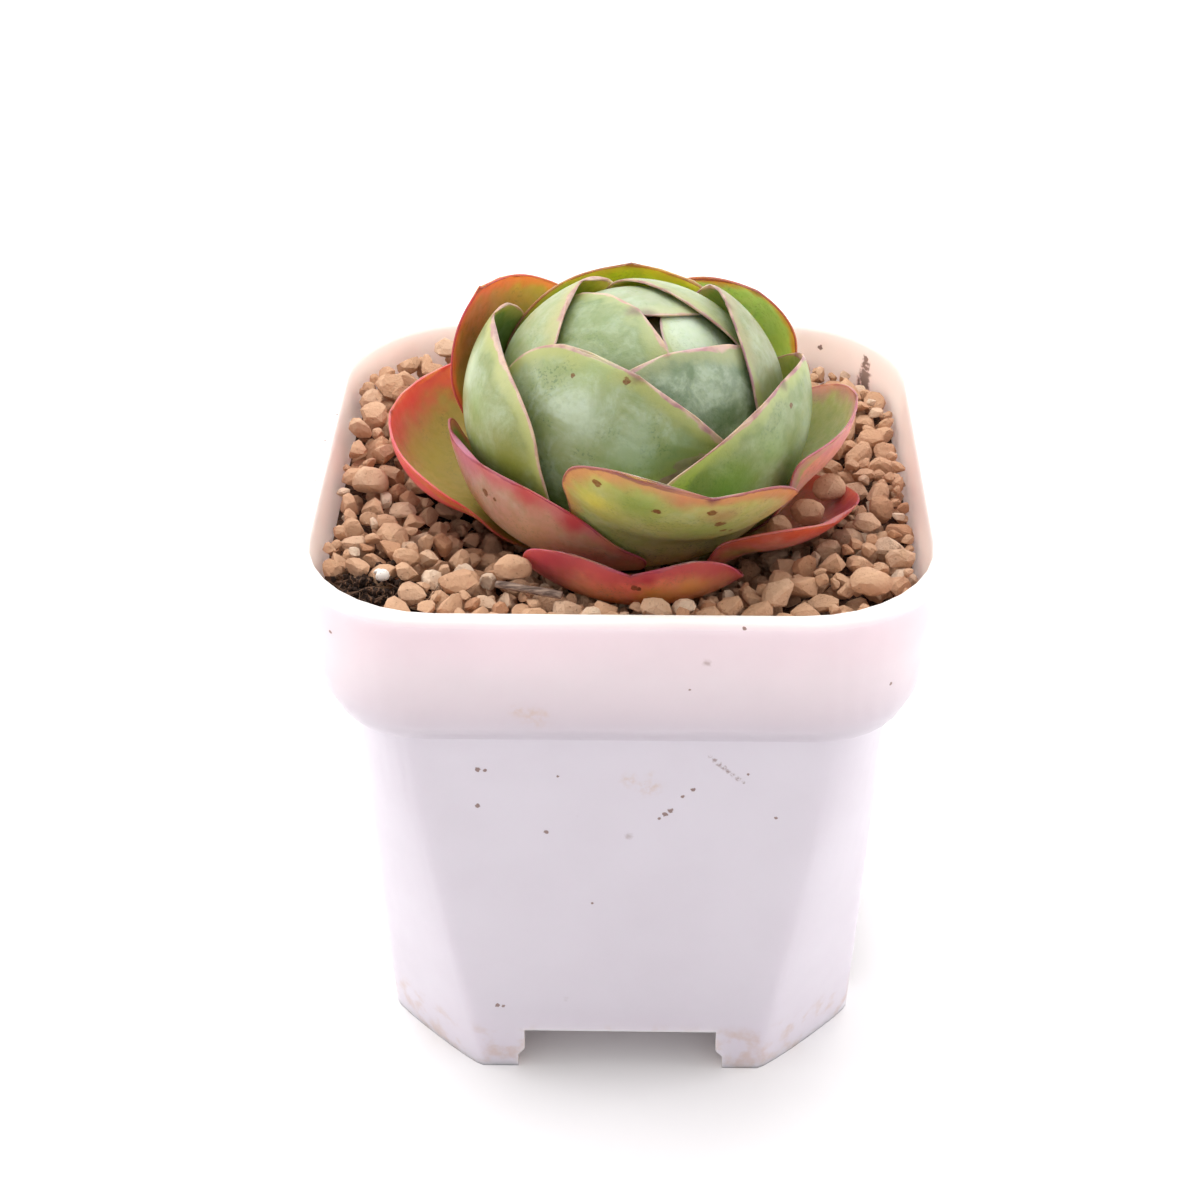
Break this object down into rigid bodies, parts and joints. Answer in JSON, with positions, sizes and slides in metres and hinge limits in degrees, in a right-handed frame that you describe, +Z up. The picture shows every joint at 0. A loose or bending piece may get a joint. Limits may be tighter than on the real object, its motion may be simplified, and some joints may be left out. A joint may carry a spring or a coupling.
{
  "type": "potted succulent",
  "caption": "Rosette succulent with cupped, red-edged leaves growing in gravel in a small square plastic nursery pot.",
  "frame": {"origin": "middle of the pot's footprint, on the surface it stands on", "axes": "+Z up, -Y towards the viewer's side of the pot, +X to the right of that side"},
  "size_m": [0.07, 0.07, 0.0876],
  "materials": {
    "pot_plastic": "satin",
    "potting_soil": "matte",
    "gravel": "matte",
    "peat_clump": "matte",
    "perlite_grain": "matte",
    "twig": "matte",
    "stem": "matte",
    "bud_leaf": "satin",
    "wrap_leaf": "satin",
    "cup_leaf": "satin",
    "outer_leaf": "satin"
  },
  "bodies": {
    "root": {"bud_leaf_back": "bud_leaf", "bud_leaf_front": "bud_leaf", "bud_leaf_left": "bud_leaf", "bud_leaf_right": "bud_leaf", "crown_leaf_back": "bud_leaf", "crown_leaf_left": "bud_leaf", "crown_leaf_right": "bud_leaf", "cup_leaf_back_left": "cup_leaf", "cup_leaf_back_right": "cup_leaf", "cup_leaf_front": "cup_leaf", "cup_leaf_front_left": "cup_leaf", "cup_leaf_right": "cup_leaf", "gravel_bed": "gravel", "heart_leaf_1": "bud_leaf", "heart_leaf_2": "bud_leaf", "heart_leaf_3": "bud_leaf", "outer_leaf_back": "outer_leaf", "outer_leaf_front": "outer_leaf", "outer_leaf_front_right": "outer_leaf", "outer_leaf_left": "outer_leaf", "peat_clump": "peat_clump", "perlite_grain": "perlite_grain", "pot": "pot_plastic", "potting_soil": "potting_soil", "stem": "stem", "stone_corner": "gravel", "stone_front": "gravel", "stone_on_leaf_1": "gravel", "stone_on_leaf_2": "gravel", "stone_on_leaf_3": "gravel", "stone_side": "gravel", "twig": "twig", "wrap_leaf_back": "wrap_leaf", "wrap_leaf_front": "wrap_leaf", "wrap_leaf_left": "wrap_leaf", "wrap_leaf_right": "wrap_leaf"}
  },
  "joints": []
}
